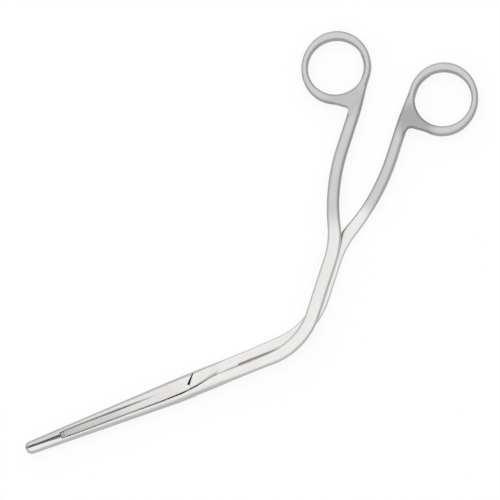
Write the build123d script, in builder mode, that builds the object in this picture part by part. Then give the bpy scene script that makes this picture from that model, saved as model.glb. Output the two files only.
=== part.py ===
from build123d import *
from math import cos, radians, sin, tan
import os

os.makedirs("parts", exist_ok=True)

# Lengths are in millimetres and angles in degrees.
# The layout is drawn in plan on the lap plane, where the two limbs slide on each other.
# Its "along" runs on the shaft's axis, from the pivot (0) away from the jaws, and "up"
# runs square to it, towards the side that the finger rings are on.

# Layout of the shaft and the handles
jaw_reach = 85.0           # tip of the jaws to the pivot
shaft_reach = 41.2         # pivot to the knee, where the handles' axis meets the shaft's
handle_angle = 51.0        # turn at the knee
front_reach = 116.3        # knee to the ring centres, along the handles' axis
back_reach = 115.3
handle_spread = 10.6       # handles' axis to the middle of each handle
front_fork = 42.5          # knee to where the front handle turns outwards
back_fork = 46.5           # knee to where the back handle turns outwards
fork_run = 22.0            # length of the slanted stretch of each handle
knee_radius = 30.0
fork_radius = 44.0

# Lap joint
lap_gap = 0.05             # each limb's lap face to the lap plane
lap_height = 3.2           # lap plane above the surface that the tool lies on
pivot_up = -2.5            # pivot below the shaft's axis
heel_radius = 10.5         # round end of the back limb's lap plate
heel_gap = 0.3             # running gap round that end
lap_floor = -5.3           # lower edge of the lap plate
flat_floor = -4.6          # lower edge of the flat on the plate's back
lap_length = 13.0          # pivot to where the lap fades into the shanks
slash_foot = (-12.2, -0.9) # lower end of the back limb's shoulder
slash_angle = 58.0         # slope of the shoulder against the shaft

# Shanks and handles
front_band_up = -3.1       # middle of the front shank
back_band_up = 2.4         # middle of the back shank
band_width = 5.0
front_band_start = 1.0     # where the front shank begins inside its lap
back_band_start = -13.5    # where the back shank begins inside its jaw
band_rise = 10.0           # length over which a shank swells out of the lap
band_sink = 0.6            # how much slimmer it begins
knee_width = 6.0
handle_width = 5.6
neck_width = 3.3           # where a handle runs into its ring
band_outer = 1.9           # height of a shank's outer half
band_inner = 1.25          # height of a shank's half that faces the other limb
handle_half = 2.3          # half the thickness of a handle
neck_half = 1.7
knee_run = 22.0            # length over which a shank widens for the knee
level_run = 42.0           # length over which a handle comes to the middle height
fork_ease = 26.0           # length over which a handle slims after the fork
neck_run = 18.0            # length over which a handle thins into its ring
section_step = 5.5         # spacing of the sections along a limb

# Finger rings
ring_bore = 23.9
ring_length = 32.5         # across the ring, along the thick direction
ring_breadth = 29.7
ring_tilt = 65.0           # direction of the thick ends, against the shaft
ring_thickness = 4.4
ring_rounding = 1.35
ring_middle = 13.3         # radius on which a handle joins the band
web_half = 1.6             # half the thickness of the web between handle and ring
web_reach = 15.4           # ring centre to the web's straight edge, along the handle
web_start = 2.0            # ring centre to the start of that edge, across the handle
web_inset = 0.4            # web inside the outlines of both
web_radius = 2.0           # rounding of the corner between them
web_rounding = 0.7

# Jaws, cut from one tapered round body
tip_width = 5.3
tip_depth = 4.3
tip_rounding = 1.3
root_width = 10.2
root_depth = 6.8
taper_length = 68.0        # tip to where the body has its full size
tip_centre = 0.7           # middle of the body above the shaft's axis, at the tip
root_centre = -0.4

# Toothed pads at the tip and cross serrations behind them
pad_length = 15.5
pad_tip_up = 0.8           # parting line above the shaft's axis, at the tip
pad_end_up = -0.05
pad_tip_gap = 0.15         # between the teeth of the two pads
pad_end_gap = 0.75
tooth_pitch = 1.0
tooth_depth = 0.4
serration_pitch = 1.25
serration_depth = 0.2
# Inner faces behind the pads: share of the way from pad to slash, height above the axis
upper_face = [(0.0, 1.1), (0.2, 1.0), (0.58, 0.55), (0.78, 0.2), (1.0, slash_foot[1])]
lower_face = [(0.0, -1.2), (0.15, -1.6), (0.53, -2.25), (0.8, -2.9), (0.92, -3.0)]
# The front limb's upper edge over the joint, measured from the pivot
front_edge = [(-9.0, -2.5), (-6.0, -1.95), (-2.0, -1.2), (1.0, -0.9), (5.0, -0.75),
              (lap_length, -0.6)]

# Pivot screw
screw_diameter = 2.0
screw_head_diameter = 3.6
screw_head_depth = 0.9
screw_reach = 2.2          # above the lap plane, inside the front limb
slot_width = 0.6
slot_depth = 0.5
running_clearance = 0.05
thread_clearance = 0.02

# Values worked out from the sizes above
tip_along = -jaw_reach
ring_lane = handle_spread + ring_middle
pivot = (0.0, pivot_up)
body_reach = root_width    # plan outlines run this far past the body
serrated_length = jaw_reach + slash_foot[0] - pad_length


def on_handle(reach, lane):
    """Plan point at a distance from the knee, on a lane beside the handles' axis."""
    turn = radians(handle_angle)
    return (
        shaft_reach + reach * cos(turn) - lane * sin(turn),
        root_centre + reach * sin(turn) + lane * cos(turn),
    )


def knee_point(band_up, lane):
    """Corner between a shank's line and its lane along the handle."""
    foot_along, foot_up = on_handle(0, lane)
    return (foot_along + (band_up - foot_up) / tan(radians(handle_angle)), band_up)


def ease(value, start, end):
    """Share that grows smoothly from 0 at the start to 1 at the end."""
    share = min(max((value - start) / (end - start), 0.0), 1.0)
    return share * share * (3 - 2 * share)


def mix(first, second, share):
    """Value between two others."""
    return first + (second - first) * share


# The frame's origin is below the middle of the tool's outline
ring_extent_along = ((ring_length * cos(radians(ring_tilt))) ** 2
                     + (ring_breadth * sin(radians(ring_tilt))) ** 2) ** 0.5 / 2
ring_extent_up = ((ring_length * sin(radians(ring_tilt))) ** 2
                  + (ring_breadth * cos(radians(ring_tilt))) ** 2) ** 0.5 / 2
front_ring_centre = on_handle(front_reach, ring_lane)
back_ring_centre = on_handle(back_reach, -ring_lane)
middle_along = (tip_along + back_ring_centre[0] + ring_extent_along) / 2
middle_up = (front_ring_centre[1] + ring_extent_up + front_band_up - band_width / 2) / 2


def spot(along, up, lift=0.0):
    """Point of the row's frame from a plan point and a height over the lap plane."""
    return Vector(along - middle_along, up - middle_up, lap_height + lift)


def layout(lift=0.0):
    """Level plane on which plan sketches are drawn."""
    return Plane(origin=spot(0, 0, lift))


def limb_route(band_start, band_up, fork, reach, side):
    """Centre line of a limb in plan, from its lap to the far side of its ring."""
    lane_in = 0.6 * side
    lane_out = handle_spread * side
    with BuildLine() as route:
        run = FilletPolyline(
            (band_start, band_up),
            knee_point(band_up, lane_in),
            on_handle(fork, lane_in),
            on_handle(fork + fork_run, lane_out),
            on_handle(reach, lane_out),
            radius=[knee_radius, fork_radius, fork_radius],
        )
        JernArc(run @ 1, run % 1, ring_middle, 50 * side)
    return route.wire()


def limb_bar(band_start, band_up, fork, reach, side):
    """Shank, knee and handle of one limb as a bar through oval sections.

    side is 1 for the limb on the front of the lap and -1 for the one behind it.
    """
    route = limb_route(band_start, band_up, fork, reach, side)
    knee_start = shaft_reach - band_start - knee_radius / 2
    fork_at = shaft_reach - band_start + fork
    ring_at = shaft_reach - band_start + reach
    count = round(route.length / section_step)
    with BuildPart() as bar:
        for index in range(count + 1):
            distance = index / count * route.length
            place = route.position_at(distance, PositionMode.LENGTH)
            heading = route.tangent_at(distance, PositionMode.LENGTH)
            sink = band_sink * (1 - ease(distance, 0, band_rise))
            # Share of the way from the lap to the level handles
            levelled = ease(distance, fork_at - 0.1 * level_run, fork_at + 0.9 * level_run)
            swelled = ease(distance, knee_start - knee_run / 2, knee_start + knee_run / 2)
            width = mix(band_width, knee_width, swelled)
            slimmed = ease(distance, fork_at - fork_ease / 4, fork_at + 3 * fork_ease / 4)
            width = mix(width, handle_width, slimmed)
            necked = ease(distance, ring_at - neck_run, ring_at)
            width = mix(width, neck_width, necked) - sink
            half = mix(handle_half, neck_half, necked)
            outer = mix(band_outer - sink, half, levelled)
            inner = mix(band_inner, half, levelled)
            lift = mix((lap_gap + band_inner) * side, 0.0, levelled)
            section_plane = Plane(
                origin=spot(place.X, place.Y, lift),
                x_dir=(-heading.Y, heading.X, 0),
                z_dir=(heading.X, heading.Y, 0),
            )
            crown, belly = (outer, inner) if side > 0 else (inner, outer)
            with BuildSketch(section_plane):
                with BuildLine():
                    EllipticalCenterArc((0, 0), width / 2, crown, 0, arc_size=180)
                    EllipticalCenterArc((0, 0), width / 2, belly, 180, arc_size=180)
                make_face()
        loft()
    return bar.part


def finger_ring(centre):
    """Closed ring, thicker at the ends of its long axis and rounded all over."""
    with BuildPart() as ring:
        with BuildSketch(layout(-ring_thickness / 2)):
            with Locations(centre):
                Ellipse(ring_length / 2, ring_breadth / 2, rotation=ring_tilt)
                Circle(ring_bore / 2, mode=Mode.SUBTRACT)
        extrude(amount=ring_thickness)
        fillet(ring.edges().filter_by(GeomType.LINE, reverse=True), ring_rounding)
    return ring.part


def ring_web(centre, reach, side):
    """Web that fills the narrow corner between a handle and its ring."""
    inner_lane = handle_spread + handle_width / 2 - web_inset
    corner = on_handle(reach - web_reach, inner_lane * side)
    with BuildPart() as web:
        with BuildSketch(layout(-web_half)) as plan:
            with BuildLine():
                Polyline(
                    on_handle(reach - web_reach, (ring_lane - web_start) * side),
                    corner,
                    on_handle(reach - neck_run, inner_lane * side),
                    on_handle(reach - neck_run, handle_spread * side),
                    on_handle(reach - neck_run / 3, handle_spread * side),
                    close=True,
                )
            make_face()
            fillet(plan.vertices().sort_by_distance(corner)[0], web_radius)
            with Locations(centre):
                Circle(ring_bore / 2 + web_inset, mode=Mode.SUBTRACT)
        extrude(amount=2 * web_half)
        rims = web.edges().filter_by(GeomType.CIRCLE)
        fillet(rims.filter_by(lambda edge: edge.radius < 2 * web_radius), web_rounding)
    return web.part


def jaw_body():
    """Tapered round body that both jaws and both laps are cut from."""
    with BuildPart() as body:
        taper_end = tip_along + taper_length
        for along in [tip_along, tip_along + 0.1 * taper_length, tip_along + 0.4 * taper_length,
                      tip_along + 0.75 * taper_length, taper_end,
                      (taper_end + lap_length) / 2, lap_length]:
            share = min((along - tip_along) / taper_length, 1.0)
            section_plane = Plane(
                origin=spot(along, mix(tip_centre, root_centre, share)),
                x_dir=(0, 1, 0),
                z_dir=(1, 0, 0),
            )
            with BuildSketch(section_plane):
                Ellipse(
                    mix(tip_width, root_width, share) / 2,
                    mix(tip_depth, root_depth, share) / 2,
                )
        loft()
        fillet(body.faces().sort_by(Axis.X)[0].edges(), tip_rounding)
        # The back is ground flat, level with the surface that the tool lies on
        with BuildSketch(layout(-lap_height)):
            with Locations((tip_along / 2, 0)):
                Rectangle(2 * jaw_reach, 2 * body_reach)
        extrude(amount=-root_depth, mode=Mode.SUBTRACT)
    return body.part


def face_height(outline, share):
    """Height of an inner face between the points of its outline."""
    for (start, low), (end, high) in zip(outline, outline[1:]):
        if share <= end:
            return mix(low, high, (share - start) / (end - start))
    return outline[-1][1]


def jaw_outline(side, outline, last_share):
    """Toothed inner outline of one jaw in plan, from the tip to the joint."""
    points = []
    teeth = round(pad_length / tooth_pitch)
    for index in range(2 * teeth + 1):
        share = index / (2 * teeth)
        parting = mix(pad_tip_up, pad_end_up, share)
        gap = mix(pad_tip_gap, pad_end_gap, share) / 2
        root = tooth_depth * (index % 2 if side > 0 else (index + 1) % 2)
        points.append((tip_along + share * pad_length, parting + side * (gap + root)))
    ridges = round(serrated_length * last_share / serration_pitch)
    for index in range(2 * ridges + 1):
        share = index / (2 * ridges) * last_share
        root = serration_depth * ((index + 1) % 2)
        along = tip_along + pad_length + 0.2 + share * (serrated_length - 0.2)
        points.append((along, face_height(outline, share) + side * root))
    points[0] = (tip_along - 1, points[0][1])
    return points


def slash_point(up):
    """Point on the slanted shoulder of the back limb at a height above the axis."""
    return (slash_foot[0] + (up - slash_foot[1]) / tan(radians(slash_angle)), up)


# Front limb: lower jaw, front lap, front shank, handle and ring
lower_points = jaw_outline(-1, lower_face, lower_face[-1][0])
with BuildPart() as front_keep:
    # The whole thickness as far as the round heel of the other limb
    with BuildSketch(layout(-root_depth)):
        with BuildLine():
            Polyline(
                lower_points,
                (0, lower_points[-1][1]),
                (0, -body_reach),
                (tip_along - 1, -body_reach),
                close=True,
            )
        make_face()
        with Locations(pivot):
            Circle(heel_radius + heel_gap, mode=Mode.SUBTRACT)
    extrude(amount=root_depth + lap_gap)
    # The front half, on over the pivot
    with BuildSketch(layout(lap_gap)):
        with BuildLine():
            Polyline(
                lower_points,
                front_edge,
                (lap_length, -body_reach),
                (tip_along - 1, -body_reach),
                close=True,
            )
        make_face()
    extrude(amount=root_depth)

with BuildPart() as front_limb:
    add(jaw_body())
    add(front_keep.part, mode=Mode.INTERSECT)
    add(limb_bar(front_band_start, front_band_up, front_fork, front_reach, 1))
    # Blind threaded hole for the pivot screw, entered from the lap face
    with BuildSketch(layout(-lap_height)):
        with Locations(pivot):
            Circle(screw_diameter / 2 + thread_clearance)
    extrude(amount=lap_height + screw_reach + thread_clearance, mode=Mode.SUBTRACT)
    add(finger_ring(front_ring_centre))
    add(ring_web(front_ring_centre, front_reach, 1))
front_limb.part.label = "front_limb"
export_step(front_limb.part, "parts/front_limb.step")

# Back limb: upper jaw, back lap plate, back shank, handle and ring
with BuildPart() as back_keep:
    # The whole thickness as far as the slanted shoulder
    with BuildSketch(layout(-root_depth)):
        with BuildLine():
            Polyline(
                jaw_outline(1, upper_face, 1.0),
                slash_foot,
                slash_point(body_reach),
                (tip_along - 1, body_reach),
                close=True,
            )
        make_face()
    extrude(amount=2 * root_depth)
    # The lap plate round the pivot, behind the front limb
    with BuildSketch(layout(-root_depth)):
        with Locations(pivot):
            Circle(heel_radius)
        with Locations((0, (lap_floor + back_band_up) / 2)):
            Rectangle(3 * heel_radius, back_band_up - lap_floor, mode=Mode.INTERSECT)
    extrude(amount=root_depth - lap_gap)

with BuildPart() as back_limb:
    add(jaw_body())
    add(back_keep.part, mode=Mode.INTERSECT)
    add(limb_bar(back_band_start, back_band_up, back_fork, back_reach, -1))
    add(finger_ring(back_ring_centre))
    add(ring_web(back_ring_centre, back_reach, -1))
    # The plate's back is one flat, with room for the screw's head
    with BuildSketch(layout(-lap_height)):
        with Locations(pivot):
            Circle(heel_radius)
        with Locations((0, (flat_floor + back_band_up) / 2)):
            Rectangle(3 * heel_radius, back_band_up - flat_floor, mode=Mode.INTERSECT)
    extrude(amount=lap_height - lap_gap)
    # Running bore with a countersink on the back
    with BuildSketch(layout(-lap_height)):
        with Locations(pivot):
            Circle(screw_diameter / 2 + running_clearance)
    extrude(amount=lap_height, mode=Mode.SUBTRACT)
    with BuildSketch(layout(-lap_height)):
        with Locations(pivot):
            Circle(screw_head_diameter / 2 + running_clearance)
    with BuildSketch(layout(-lap_height + screw_head_depth)):
        with Locations(pivot):
            Circle(screw_diameter / 2 + running_clearance)
    loft(mode=Mode.SUBTRACT)
back_limb.part.label = "back_limb"
export_step(back_limb.part, "parts/back_limb.step")

# Pivot screw: countersunk head at the back, plain end hidden in the front limb
with BuildPart() as pivot_screw:
    with BuildSketch(layout(-lap_height)):
        with Locations(pivot):
            Circle(screw_diameter / 2)
    extrude(amount=lap_height + screw_reach)
    with BuildSketch(layout(-lap_height)):
        with Locations(pivot):
            Circle(screw_head_diameter / 2)
    with BuildSketch(layout(-lap_height + screw_head_depth)):
        with Locations(pivot):
            Circle(screw_diameter / 2)
    loft()
    with BuildSketch(layout(-lap_height)):
        with Locations(pivot):
            Rectangle(screw_head_diameter, slot_width)
    extrude(amount=slot_depth, mode=Mode.SUBTRACT)
pivot_screw.part.label = "pivot_screw"
export_step(pivot_screw.part, "parts/pivot_screw.step")
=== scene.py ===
import logging
import math
from dataclasses import dataclass, field
from enum import Enum
from typing import Any, Iterator, Mapping, Sequence

import bmesh
import bpy
from mathutils import Matrix, Vector


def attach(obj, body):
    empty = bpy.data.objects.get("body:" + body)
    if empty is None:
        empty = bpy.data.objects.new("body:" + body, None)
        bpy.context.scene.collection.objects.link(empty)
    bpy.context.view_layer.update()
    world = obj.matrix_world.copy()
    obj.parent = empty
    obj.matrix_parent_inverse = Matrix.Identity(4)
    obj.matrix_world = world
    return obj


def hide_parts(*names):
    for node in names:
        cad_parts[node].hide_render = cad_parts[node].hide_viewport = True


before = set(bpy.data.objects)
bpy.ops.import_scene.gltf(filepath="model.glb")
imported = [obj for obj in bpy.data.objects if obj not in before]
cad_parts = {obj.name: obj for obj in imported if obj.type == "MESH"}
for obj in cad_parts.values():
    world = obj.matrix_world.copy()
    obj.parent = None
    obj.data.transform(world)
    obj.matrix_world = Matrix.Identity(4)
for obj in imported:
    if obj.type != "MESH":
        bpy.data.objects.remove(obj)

log = logging.getLogger("forceps")

MM = 0.001
SECTION_POINTS = 96  # points round each section of a limb
CRISP = 26.0  # sharpness of a ground edge, where two outlines meet
SHARP_ANGLE = math.radians(38.0)
CUTTER_RISE = 8.0  # height of what cuts right through a limb, in millimetres
WELD = 1e-7  # distance under which vertices are one, in metres
TINY = 1e-9
LEAST_REACH = 1e-3  # reach where the point inside lies on the outline, in millimetres
JUMP = 0.01  # run of a sudden change between two sections, in millimetres
FAR = 1.0e6  # reach where the ray never meets the limit
WHITE = (1.0, 1.0, 1.0, 1.0)
WAVE_WIDTH = 0.314  # width of a ring of the Wave Texture at a scale of 1


class Side(Enum):
    """Which side of the lap plane a limb lies on."""

    FRONT = 1
    BACK = -1


def ease(value: float, start: float, end: float) -> float:
    """Share that grows smoothly from 0 at the start to 1 at the end."""
    share = min(max((value - start) / (end - start), 0.0), 1.0)
    return share * share * (3.0 - 2.0 * share)


def ease_about(value: float, place: float, run: float, lead: float) -> float:
    """Share that grows smoothly over a run, with a part of it, the lead, before a place."""
    return ease(value, place - lead * run, place + (1.0 - lead) * run)


def mix(first: float, second: float, share: float) -> float:
    """Value between two others."""
    return first + (second - first) * share


def height_on(outline: Sequence[tuple[float, float]], place: float) -> float:
    """Height of a straight-sided outline at a place.

    Args:
        outline: Points of (place, height), in order.
        place: Where the height is wanted.

    Returns:
        The height, held level past both ends.
    """
    if place <= outline[0][0]:
        return outline[0][1]
    for (start, low), (end, high) in zip(outline, outline[1:]):
        if place <= end:
            return mix(low, high, (place - start) / (end - start))
    return outline[-1][1]


# Shader maths


class Value:
    """A socket that takes part in Python expressions."""

    def __init__(self, graph: "Graph", socket: bpy.types.NodeSocket) -> None:
        """Keep the socket and the graph that it belongs to.

        Args:
            graph: Graph that new nodes are added to.
            socket: Output socket that carries the value.
        """
        self.graph = graph
        self.socket = socket

    def _math(self, operation: str, left: Any, right: Any) -> "Value":
        """Add one Math node and return its result."""
        return self.graph.node("ShaderNodeMath", {"operation": operation}, {0: left, 1: right})

    def __add__(self, other: Any) -> "Value":
        """Sum."""
        return self._math("ADD", self, other)

    __radd__ = __add__

    def __mul__(self, other: Any) -> "Value":
        """Product."""
        return self._math("MULTIPLY", self, other)

    __rmul__ = __mul__

    def __sub__(self, other: Any) -> "Value":
        """Difference."""
        return self._math("SUBTRACT", self, other)

    def __rsub__(self, other: Any) -> "Value":
        """Difference with the value on the right."""
        return self._math("SUBTRACT", other, self)

    def maximum(self, other: Any) -> "Value":
        """Larger of two values."""
        return self._math("MAXIMUM", self, other)


class Graph:
    """Node tree of one material, built through a single method."""

    def __init__(self, tree: bpy.types.NodeTree) -> None:
        """Start from an empty tree.

        Args:
            tree: Node tree to fill.
        """
        self.tree = tree
        tree.nodes.clear()

    def node(
        self,
        kind: str,
        settings: Mapping[str, Any] | None = None,
        inputs: Mapping[int | str, Any] | None = None,
        output: int | str = 0,
    ) -> Value:
        """Add a node, set it up and connect it.

        Args:
            kind: Node type.
            settings: Node properties, which are set first.
            inputs: Values or links for the node's sockets.
            output: Socket to return.

        Returns:
            The chosen output, ready for expressions.
        """
        made = self.tree.nodes.new(kind)
        for name, value in (settings or {}).items():
            setattr(made, name, value)
        for name, value in (inputs or {}).items():
            if isinstance(value, Value):
                self.tree.links.new(value.socket, made.inputs[name])
            else:
                made.inputs[name].default_value = value
        return Value(self, made.outputs[output] if made.outputs else made.inputs[0])

    def noise(self, place: Value, scale: float, detail: float) -> Value:
        """Noise of a scale and a detail, read at a place."""
        inputs = {"Vector": place, "Scale": scale, "Detail": detail}
        return self.node("ShaderNodeTexNoise", {}, inputs, "Fac")

    def blend(self, share: Value, first: Any, second: Any) -> Value:
        """Colour between two others."""
        return self.node("ShaderNodeMix", {"data_type": "RGBA"}, {0: share, 6: first, 7: second}, 2)

    def bump(self, height: Value, strength: float, depth: float) -> Value:
        """Relief of a height."""
        inputs = {"Height": height, "Strength": strength, "Distance": depth}
        return self.node("ShaderNodeBump", {}, inputs)

    def metal(self, tint: Any, rough: Value, relief: Value) -> None:
        """Show a bare metal as the surface."""
        inputs = {"Base Color": tint, "Metallic": 1.0, "Roughness": rough, "Normal": relief}
        surface = self.node("ShaderNodeBsdfPrincipled", {}, inputs)
        self.node("ShaderNodeOutputMaterial", {}, {"Surface": surface})


# Finishes


@dataclass(frozen=True)
class SatinSteel:
    """Stainless steel, brushed along the limbs and matte where the rings join.

    The mesh carries "grain", whose x runs along the brushing, "matte", which is 1 where the
    surface is fully blasted, and "recess", the share of painted shade that darkens the colour
    between the teeth, in the grooves, on the bank and in the seam, where shadow would fall, and
    is 1 in the slash, which is painted black as its shadow.
    """

    name: str = "satin_steel"
    colour: tuple[float, float, float] = (0.50, 0.495, 0.485)
    shade: float = 0.84
    contrast: float = 2.6
    matte_colour: tuple[float, float, float] = (0.27, 0.265, 0.272)
    # Near black that the painted shade blends towards, in place of shadow.
    painted_shade_colour: tuple[float, float, float] = (0.02, 0.02, 0.02)
    roughness: float = 0.27
    matte_roughness: float = 0.50
    wear_roughness: float = 0.08
    streak_scale: tuple[float, float, float] = (70.0, 5200.0, 5200.0)
    streak_detail: float = 3.0
    band_scale: tuple[float, float, float] = (22.0, 1100.0, 1100.0)
    band_detail: float = 2.0
    pit_scale: float = 5200.0
    pit_detail: float = 2.0
    relief_strength: float = 0.10
    relief_depth: float = 0.00012

    def build(self) -> bpy.types.Material:
        """Make the material.

        Returns:
            Material with the brushing in its colour, roughness and bump, and painted shade
            darkening its colour.
        """
        material = bpy.data.materials.new(self.name)
        material.use_nodes = True
        graph = Graph(material.node_tree)
        grain = graph.node("ShaderNodeAttribute", {"attribute_name": "grain"}, output="Vector")
        matte = graph.node("ShaderNodeAttribute", {"attribute_name": "matte"}, output="Fac")
        place = graph.node("ShaderNodeTexCoord", output="Object")
        painted_shade = graph.node("ShaderNodeAttribute", {"attribute_name": "painted_shade"}, output="Fac")
        streaks = self._stretched(graph, grain, self.streak_scale, self.streak_detail)
        bands = self._stretched(graph, grain, self.band_scale, self.band_detail)
        pits = graph.noise(place, self.pit_scale, self.pit_detail)
        polished = 1.0 - matte
        worn = (streaks + bands - 1.0) * (self.contrast / 2) + 0.5
        fine = worn * polished + pits * matte
        spread = self.matte_roughness - self.roughness
        rough = (fine - 0.5) * self.wear_roughness + matte * spread + self.roughness
        brushed = graph.blend(fine, self._shaded(self.colour), (*self.colour, 1.0))
        blasted = graph.blend(fine, self._shaded(self.matte_colour), (*self.matte_colour, 1.0))
        tint = graph.blend(matte, brushed, blasted)
        # Painted shade: the colour is blended towards near black by the layer of painted shade, in
        # place of the shadow in the gaps, grooves, seam and slash.
        tint = graph.blend(painted_shade, tint, (*self.painted_shade_colour, 1.0))
        height = streaks * polished + pits * matte
        relief = graph.bump(height, self.relief_strength, self.relief_depth)
        graph.metal(tint, rough, relief)
        return material

    def _shaded(self, colour: tuple[float, float, float]) -> tuple[float, ...]:
        """Darkest shade of a colour, with its opacity."""
        return (*(channel * self.shade for channel in colour), 1.0)

    @staticmethod
    def _stretched(
        graph: Graph, grain: Value, scale: tuple[float, float, float], detail: float
    ) -> Value:
        """Noise drawn out along the brushing."""
        drawn = graph.node("ShaderNodeMapping", {}, {"Vector": grain, "Scale": scale})
        return graph.noise(drawn, 1.0, detail)


@dataclass(frozen=True)
class TurnedSteel:
    """Turned steel of the screw, with rings from the lathe about its own middle."""

    centre: tuple[float, float, float]
    name: str = "turned_steel"
    colour: tuple[float, float, float] = (0.46, 0.46, 0.465)
    ring_pitch: float = 0.00012
    ring_wobble: float = 1.5
    ring_roughness: float = 0.08
    roughness: float = 0.22
    relief_strength: float = 0.15
    relief_depth: float = 0.00001

    def build(self) -> bpy.types.Material:
        """Make the material.

        Returns:
            Material with fine rings in its roughness and bump.
        """
        material = bpy.data.materials.new(self.name)
        material.use_nodes = True
        graph = Graph(material.node_tree)
        place = graph.node("ShaderNodeTexCoord", output="Object")
        moved = graph.node(
            "ShaderNodeMapping", {}, {"Vector": place, "Location": [-part for part in self.centre]}
        )
        rings = graph.node(
            "ShaderNodeTexWave",
            {"wave_type": "RINGS", "rings_direction": "Z"},
            {
                "Vector": moved,
                "Scale": WAVE_WIDTH / self.ring_pitch,
                "Distortion": self.ring_wobble,
            },
            "Fac",
        )
        relief = graph.bump(rings, self.relief_strength, self.relief_depth)
        rough = rings * self.ring_roughness + self.roughness
        graph.metal((*self.colour, 1.0), rough, relief)
        return material


# Sizes and the centre line


@dataclass(frozen=True)
class Layout:
    """Sizes that both limbs share, in millimetres, as in the part's plan.

    Along runs on the shaft's axis from the pivot, away from the jaws. Up runs square to it,
    towards the finger rings. Lift is the height over the plane that the laps slide on.
    """

    jaw_reach: float = 85.0
    shaft_reach: float = 41.2
    handle_angle: float = 51.0
    front_reach: float = 116.3
    back_reach: float = 115.3
    handle_spread: float = 10.6
    knee_radius: float = 30.0
    lap_gap: float = 0.05
    lap_height: float = 3.2
    pivot_up: float = -2.5
    heel_radius: float = 10.5
    heel_gap: float = 0.3
    lap_floor: float = -5.3
    flat_floor: float = -4.6
    slash_foot: tuple[float, float] = (-12.2, -0.9)
    middle: tuple[float, float] = (31.221998, 57.715884)

    def reach(self, side: Side) -> float:
        """Distance from the knee to a ring's centre, along the handles' axis."""
        return self.front_reach if side is Side.FRONT else self.back_reach

    def on_handle(self, reach: float, lane: float) -> Vector:
        """Plan point beside the handles' axis.

        Args:
            reach: Distance from the knee, along the handles' axis.
            lane: Distance from that axis, positive on the front limb's side.

        Returns:
            The point, as (along, up).
        """
        turn = math.radians(self.handle_angle)
        foot_up = JawBody().root_centre
        return Vector(
            (
                self.shaft_reach + reach * math.cos(turn) - lane * math.sin(turn),
                foot_up + reach * math.sin(turn) + lane * math.cos(turn),
            )
        )

    def knee_point(self, band_up: float, lane: float) -> Vector:
        """Corner between a shank's line and its lane along the handle.

        Args:
            band_up: Height of the shank's line in plan.
            lane: Distance of the handle's line from the handles' axis.

        Returns:
            The corner, as (along, up).
        """
        foot = self.on_handle(0.0, lane)
        rise = band_up - foot.y
        return Vector((foot.x + rise / math.tan(math.radians(self.handle_angle)), band_up))

    def spot(self, along: float, up: float, lift: float) -> Vector:
        """Point of the shared frame.

        Args:
            along: Distance along the shaft's axis from the pivot, in millimetres.
            up: Distance square to the axis, towards the finger rings.
            lift: Height over the lap plane.

        Returns:
            The point, in metres.
        """
        return Vector(
            (
                (along - self.middle[0]) * MM,
                (up - self.middle[1]) * MM,
                (self.lap_height + lift) * MM,
            )
        )


@dataclass(frozen=True)
class JawBody:
    """Tapered round body that the jaws and laps are cut from."""

    tip_width: float = 5.3
    tip_depth: float = 4.3
    tip_rounding: float = 1.9
    tip_run: float = 2.6
    root_width: float = 10.2
    root_depth: float = 6.8
    taper_length: float = 68.0
    taper_blend: float = 0.06
    tip_centre: float = 0.7
    root_centre: float = -0.4

    def oval(self, from_tip: float) -> tuple[float, float, float]:
        """Oval of the body at a distance from the tip.

        Args:
            from_tip: Distance from the tip, in millimetres.

        Returns:
            Height of its middle, half its width and half its depth.
        """
        share, blend = from_tip / self.taper_length, self.taper_blend
        level = share >= 1.0 + blend
        share -= share - 1.0 if level else max(share - (1.0 - blend), 0.0) ** 2 / (4 * blend)
        left = max(1.0 - from_tip / self.tip_run, 0.0) * self.tip_rounding
        inset = self.tip_rounding - math.sqrt(self.tip_rounding**2 - left**2)
        return (
            mix(self.tip_centre, self.root_centre, share),
            mix(self.tip_width, self.root_width, share) / 2 - inset,
            mix(self.tip_depth, self.root_depth, share) / 2 - inset,
        )


class CentreLine:
    """Line of straight runs and arcs in plan, which starts level with the shaft."""

    def __init__(self, points: Sequence[Vector], radii: Sequence[float]) -> None:
        """Round the corners of a run of points.

        Args:
            points: Corners of the line, with its two ends.
            radii: Radius at each corner between the ends.
        """
        self.pieces: list[tuple[float, float, Vector, Vector]] = []
        self.length = 0.0
        at = points[0]
        for index, radius in enumerate(radii, start=1):
            before = (points[index] - points[index - 1]).normalized()
            after = (points[index + 1] - points[index]).normalized()
            turn = math.atan2(before.cross(after), before.dot(after))
            cut = radius * math.tan(abs(turn) / 2)
            self._add((points[index] - before * cut - at).length, 0.0, at, before)
            self._add(radius * abs(turn), math.copysign(1 / radius, turn), *self.end())
            at = self.end()[0]
        self._add((points[-1] - at).length, 0.0, at, self.end()[1])

    def _add(self, length: float, bend: float, start: Vector, heading: Vector) -> None:
        """Add a run, or an arc of a given bend."""
        self.pieces.append((length, bend, start.copy(), heading.copy()))
        self.length += length

    def turn(self, radius: float, sweep: float) -> None:
        """Go on in an arc.

        Args:
            radius: Radius of the arc.
            sweep: Angle in degrees, positive to the left.
        """
        angle = math.radians(sweep)
        self._add(radius * abs(angle), math.copysign(1 / radius, angle), *self.end())

    def end(self) -> tuple[Vector, Vector]:
        """Point and heading at the end so far."""
        return self.at(self.length)

    def at(self, distance: float) -> tuple[Vector, Vector]:
        """Point and heading on the line.

        Args:
            distance: Distance from the start, which may be less than 0.

        Returns:
            The point and the heading of length 1, in plan.
        """
        left = distance
        for length, bend, start, heading in self.pieces:
            if left <= length + TINY:
                break
            left -= length
        else:
            left += length
        if bend == 0.0:
            return start + heading * left, heading.copy()
        side = Vector((-heading.y, heading.x))
        angle = left * bend
        place = start + heading * (math.sin(angle) / bend) + side * ((1 - math.cos(angle)) / bend)
        return place, heading * math.cos(angle) + side * math.sin(angle)


# Cross sections: reach of an outline from a point inside it, in one direction


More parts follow.
